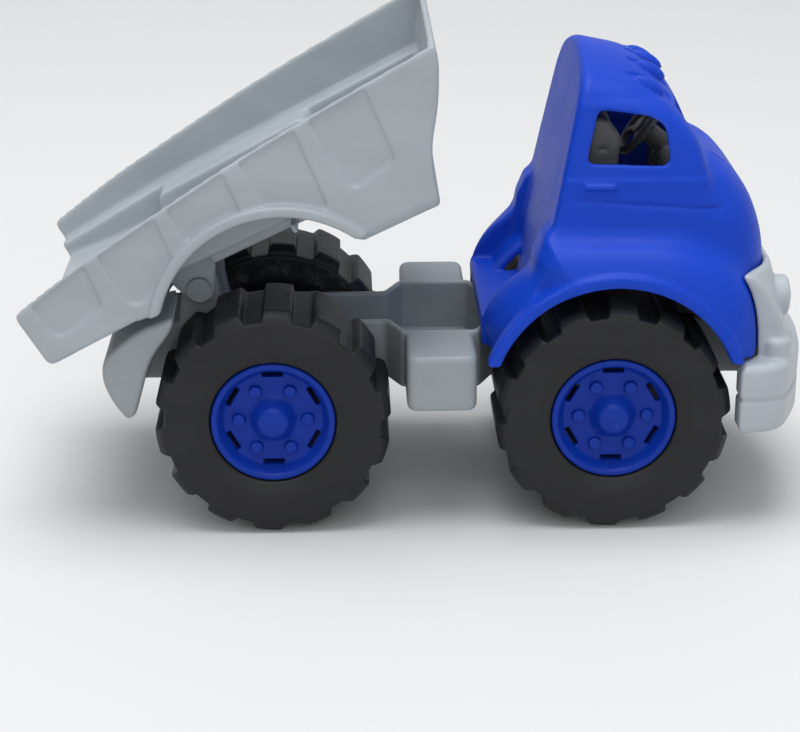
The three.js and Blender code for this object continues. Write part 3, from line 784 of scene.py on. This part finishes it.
def interior_surface():
    g = Grid((39.5, -33.6, 47.5), (106.5, 33.6, 148.5), 0.75)
    floor = block(g, (40, -20, 69), (106, 19, 71.4))
    bench = plate(g, rounded([
        (42, 70),
        (70, 70),
        (70, 96, 5),
        (56, 97, 3),
        (60.5, 146, 3),
        (53, 147, 3),
        (46, 97),
    ]), -40, 31, 2.2)
    band = np.abs(np.hypot(0.2, 1) * (g.z - 135 - (g.x - 55) * 0.1)) - 0.5
    band = np.maximum(np.maximum(band, 56 - g.x), -(bench + 0.7))
    bench = cut(bench, band, size=0.8)
    rolls = plate(g, rounded([(55, 97), (60, 97), (64, 140, 4), (59, 145, 2)]), 25, 31, 2)
    dash = plate(g, rounded([
        (88, 70),
        (94, 70),
        (94, 112),
        (92, 126, 4),
        (83, 124, 4),
        (82, 112, 3),
        (88, 108),
    ]), -40, 33, 1.4)
    dials = join(*[
        np.maximum(np.abs(np.hypot(g.y - y, g.z - 118) - 3.4) - 0.5, between(g.x, 80, 84))
        for y in (8, 16, 24)
    ])
    bosses = join(*[upright(g, x, SCREW_Y, 4.2, 48.2, 70) for x in SCREW_XS])
    column = on_column(g, 4, -16, -3)
    body = join(floor, bench, rolls, dash, bosses, column, size=0.8)
    holes = [np.hypot(g.x - x, g.side - SCREW_Y) - SCREW_HOLE_RADIUS for x in SCREW_XS]
    pilots = [np.maximum(hole, g.z - 68.5) for hole in holes]
    wheel_room = np.hypot(g.x - AXLE_X, g.z - TYRE_RADIUS) - TYRE_RADIUS - TYRE_CLEARANCE
    wheel_room = np.maximum(wheel_room, 19 - g.side)
    return surface(g, cut(body, *pilots, wheel_room, dials, size=0.5))


COLUMN_TILT = math.radians(52)
COLUMN_TOP = (77.0, 16.0, 132.0)


def column_axes(g):
    """Coordinates in the steering wheel's own frame, whose z is the column."""
    x = g.x - COLUMN_TOP[0]
    z = g.z - COLUMN_TOP[2]
    across = x * math.cos(COLUMN_TILT) + z * math.sin(COLUMN_TILT)
    along = -x * math.sin(COLUMN_TILT) + z * math.cos(COLUMN_TILT)
    return across, g.y - COLUMN_TOP[1], along


def on_column(g, radius, z0, z1):
    u, v, w = column_axes(g)
    return round_off(np.hypot(u, v) - radius, between(w, z0, z1), 0.5)


def steering_surface():
    g = Grid((66, 2.5, 121), (88, 29.5, 143), 0.4)
    u, v, w = column_axes(g)
    radius = np.hypot(u, v)
    turn = np.arctan2(v, u)
    rim = np.hypot(radius - 11, w) - 1.6 + 0.12 * np.cos(turn * 28) * (w < 0)
    hub = round_off(radius - 4, between(w, -2.6, 1.4), 1)
    third = 2 * math.pi / 3
    near = (turn + third / 2) % third - third / 2
    spoke = round_off(np.abs(radius * np.sin(near)) - 1.5, np.abs(w) - 0.9, 0.5)
    spoke = np.maximum(spoke, np.maximum(radius - 11, -np.cos(near)))
    return surface(g, join(rim, hub, spoke, size=0.8))


# ---- Materials ---------------------------------------------------------------


class Nodes:
    """A small helper for writing a material's node tree."""

    def __init__(self, name):
        self.material = bpy.data.materials.new(name)
        self.material.use_nodes = True
        self.tree = self.material.node_tree
        self.shader = self.tree.nodes["Principled BSDF"]
        self.place = self.add("ShaderNodeTexCoord").outputs["Object"]

    def add(self, kind, **values):
        node = self.tree.nodes.new(kind)
        for key, value in values.items():
            setattr(node, key, value)
        return node

    def link(self, start, end):
        self.tree.links.new(start, end)

    def noise(self, scale, detail=3.0, rough=0.55, stretch=None):
        node = self.add("ShaderNodeTexNoise")
        node.inputs["Scale"].default_value = scale
        node.inputs["Detail"].default_value = detail
        node.inputs["Roughness"].default_value = rough
        place = self.place
        if stretch:
            mapping = self.add("ShaderNodeMapping")
            mapping.inputs["Scale"].default_value = stretch
            self.link(place, mapping.inputs["Vector"])
            place = mapping.outputs["Vector"]
        self.link(place, node.inputs["Vector"])
        return node.outputs["Fac"]

    def ramp(self, value, low, high, start=0.0, end=1.0):
        node = self.add("ShaderNodeMapRange")
        node.inputs["From Min"].default_value = low
        node.inputs["From Max"].default_value = high
        node.inputs["To Min"].default_value = start
        node.inputs["To Max"].default_value = end
        self.link(value, node.inputs["Value"])
        return node.outputs["Result"]

    def math(self, operation, a, b):
        node = self.add("ShaderNodeMath", operation=operation)
        for socket, value in zip(node.inputs, (a, b)):
            if isinstance(value, (int, float)):
                socket.default_value = value
            else:
                self.link(value, socket)
        return node.outputs["Value"]

    def mix(self, amount, a, b, blend="MIX"):
        node = self.add("ShaderNodeMix", data_type="RGBA", blend_type=blend)
        for socket, value in ((node.inputs["Factor"], amount), (node.inputs["A"], a), (node.inputs["B"], b)):
            if isinstance(value, bpy.types.NodeSocket):
                self.link(value, socket)
            else:
                socket.default_value = value
        return node.outputs["Result"]


def srgb(red, green, blue):
    """A linear colour from 0-255 display values."""
    def linear(value):
        value /= 255
        return value / 12.92 if value <= 0.04045 else ((value + 0.055) / 1.055) ** 2.4
    return (linear(red), linear(green), linear(blue), 1.0)


def moulded(name, colour, roughness=0.42, grain=1.0, specular=0.5, mottle=0.06):
    """Satin injection-moulded plastic: mottled colour, fine peel, flow marks and rubbed edges."""
    n = Nodes(name)
    clouds = n.noise(38, 4)
    flow = n.noise(20, 3, stretch=(1.0, 1.0, 3.5))
    specks = n.noise(1400, 2, 0.7)
    amount = n.ramp(n.math("ADD", clouds, flow), 0.7, 1.3)
    dark = tuple(c * (1 - mottle) for c in colour[:3]) + (1.0,)
    light = tuple(min(1, c * (1 + mottle) + 0.002) for c in colour[:3]) + (1.0,)
    base = n.mix(amount, dark, light)
    speck_amount = n.ramp(specks, 0.62, 0.78, 0.0, 0.16)
    base = n.mix(speck_amount, base, tuple(min(1, c * 1.25 + 0.01) for c in colour[:3]) + (1.0,))
    geometry = n.add("ShaderNodeNewGeometry")
    edge = n.ramp(geometry.outputs["Pointiness"], 0.52, 0.6)
    scuffs = n.ramp(n.noise(160, 5, 0.7), 0.45, 0.7)
    worn = n.math("MULTIPLY", n.math("MULTIPLY", edge, scuffs), 0.45)
    pale = tuple(min(1, c * 0.8 + 0.14) for c in colour[:3]) + (1.0,)
    base = n.mix(worn, base, pale)
    n.link(base, n.shader.inputs["Base Color"])
    streaks = n.noise(90, 3, stretch=(1.0, 6.0, 6.0))
    gloss = n.ramp(n.math("ADD", clouds, streaks), 0.7, 1.3, roughness - 0.05, roughness + 0.07)
    n.link(n.math("ADD", gloss, n.math("MULTIPLY", worn, 0.2)), n.shader.inputs["Roughness"])
    n.shader.inputs["Specular IOR Level"].default_value = specular
    peel = n.noise(900, 3, 0.6)
    wave = n.noise(70, 2, 0.5)
    fine = n.add("ShaderNodeBump")
    fine.inputs["Strength"].default_value = 0.22 * grain
    fine.inputs["Distance"].default_value = 0.00012
    n.link(peel, fine.inputs["Height"])
    broad = n.add("ShaderNodeBump")
    broad.inputs["Strength"].default_value = 0.12 * grain
    broad.inputs["Distance"].default_value = 0.0006
    n.link(wave, broad.inputs["Height"])
    n.link(fine.outputs["Normal"], broad.inputs["Normal"])
    n.link(broad.outputs["Normal"], n.shader.inputs["Normal"])
    return n.material


def metal(name):
    """Plated steel with turning marks."""
    n = Nodes(name)
    n.shader.inputs["Metallic"].default_value = 1.0
    base = n.mix(n.noise(300, 4), (0.42, 0.43, 0.45, 1), (0.6, 0.61, 0.62, 1))
    n.link(base, n.shader.inputs["Base Color"])
    n.link(n.ramp(n.noise(900, 3), 0.3, 0.7, 0.25, 0.42), n.shader.inputs["Roughness"])
    bump = n.add("ShaderNodeBump")
    bump.inputs["Strength"].default_value = 0.2
    bump.inputs["Distance"].default_value = 0.0001
    n.link(n.noise(1500, 2, stretch=(1, 1, 0.1)), bump.inputs["Height"])
    n.link(bump.outputs["Normal"], n.shader.inputs["Normal"])
    return n.material


def floor_material():
    n = Nodes("studio_floor")
    base = n.mix(n.noise(3, 3), (0.67, 0.67, 0.67, 1), (0.69, 0.69, 0.69, 1))
    n.link(base, n.shader.inputs["Base Color"])
    n.shader.inputs["Roughness"].default_value = 0.6
    n.shader.inputs["Specular IOR Level"].default_value = 0.2
    return n.material


# ---- The pieces ------------------------------------------------------------

bed_grey = moulded("bed_grey", srgb(158, 166, 171), 0.42)
frame_grey = moulded("frame_grey", srgb(142, 149, 154), 0.46)
bumper_grey = moulded("bumper_grey", srgb(168, 175, 181), 0.42)
cab_blue = moulded("cab_blue", srgb(6, 60, 184), 0.46, specular=0.2, mottle=0.05)
hub_blue = moulded("hub_blue", srgb(3, 46, 150), 0.42, specular=0.2, mottle=0.05)
# The interior and steering wheel get a dark grey that paints in the shade inside the cab; their plastic is
# light grey.
cabin_shade_painted_grey = moulded("cabin_shade_painted_grey", srgb(84, 85, 88), 0.5)
tyre_black = moulded("tyre_black", srgb(24, 24, 26), 0.5, grain=1.5, specular=0.35, mottle=0.1)
steel = metal("plated_steel")


def build_pieces():
    wheel_pieces("tyre", tyre_surface(), tyre_black)
    wheel_pieces("hub", hub_surface(), hub_blue)
    fixed = (
        ("chassis_frame", chassis_surface, frame_grey, "frame_plastic"),
        ("cab_shell", cab_surface, cab_blue, "cab_plastic"),
        # The interior and the steering wheel take the dark grey with the cab's shade painted into it.
        ("cab_interior", interior_surface, cabin_shade_painted_grey, "interior_plastic"),
        ("steering_wheel", steering_surface, cabin_shade_painted_grey, "interior_plastic"),
        ("grille_bumper", bumper_surface, bumper_grey, "light_plastic"),
    )
    for node, make, material, slot in fixed:
        points, quads = make()
        make_piece(f"{node}_look", in_row_frame(points), quads, material, "chassis", node)
    points, quads = bed_surface()
    placed = in_row_frame(turned_about_hinge(points))
    make_piece("dump_bed_look", placed, quads, bed_grey, "bed", "dump_bed")


def turned_about_hinge(points):
    """Raises the level bed to the angle it has at rest."""
    hinge = np.array((HINGE_X, 0, HINGE_Z))
    turn = Matrix.Rotation(-bed_angle(), 3, "Y")
    return (points - hinge) @ np.array(turn).T + hinge


def finish_small_parts():
    """Axles, pins and screws keep their CAD meshes, with softened edges and a finish."""
    for name, node in frame["nodes"].items():
        if node.hide_render:
            continue
        material = steel if name.startswith(("cab_screw", "axle")) else frame_grey
        node.data.materials.clear()
        node.data.materials.append(material)
        bevel = node.modifiers.new("edges", "BEVEL")
        bevel.width = 0.0003
        bevel.segments = 2


# ---- Studio ----------------------------------------------------------------


def add_floor():
    size = 6.0
    corners = [(-size, -size, 0), (size, -size, 0), (size, size, 0), (-size, size, 0)]
    mesh = bpy.data.meshes.new("studio_floor")
    mesh.from_pydata(corners, [], [(0, 1, 2, 3)])
    floor = bpy.data.objects.new("studio_floor", mesh)
    bpy.context.scene.collection.objects.link(floor)
    mesh.materials.append(floor_material())


def add_light(name, place, target, size, power):
    data = bpy.data.lights.new(name, "AREA")
    data.shape = "DISK"
    data.size = size
    data.energy = power
    lamp = bpy.data.objects.new(name, data)
    bpy.context.scene.collection.objects.link(lamp)
    lamp.location = place
    aim = Vector(target) - Vector(place)
    lamp.rotation_euler = aim.to_track_quat("-Z", "Y").to_euler()


def light_scene():
    world = bpy.data.worlds.new("studio")
    bpy.context.scene.world = world
    world.use_nodes = True
    background = world.node_tree.nodes["Background"]
    background.inputs["Color"].default_value = (0.96, 0.98, 1.0, 1)
    background.inputs["Strength"].default_value = 0.62
    add_light("overhead", (-0.15, -0.15, 2.2), (0, 0, 0.05), 1.8, 38)
    add_light("front_fill", (0.2, -2.4, 1.6), (0, 0, 0.08), 2.0, 12)
    bpy.context.scene.view_settings.view_transform = "Standard"


def add_camera():
    data = bpy.data.cameras.new("camera")
    data.sensor_width = CAMERA_SENSOR
    data.lens = CAMERA_LENS
    data.clip_start = 0.05
    camera = bpy.data.objects.new("camera", data)
    bpy.context.scene.collection.objects.link(camera)
    aim = Matrix.Rotation(math.pi / 2 - CAMERA_PITCH, 3, "X") @ Matrix.Rotation(CAMERA_ROLL, 3, "Z")
    turn = Matrix.Rotation(-CAMERA_YAW, 3, "Z") @ aim
    place = Vector(CAMERA_PLACE) + ORIGIN
    camera.matrix_world = Matrix.Translation(place) @ turn.to_4x4()
    bpy.context.scene.camera = camera


def save_sizes():
    bpy.context.view_layer.update()


add_floor()
light_scene()
add_camera()
build_pieces()
finish_small_parts()
save_sizes()
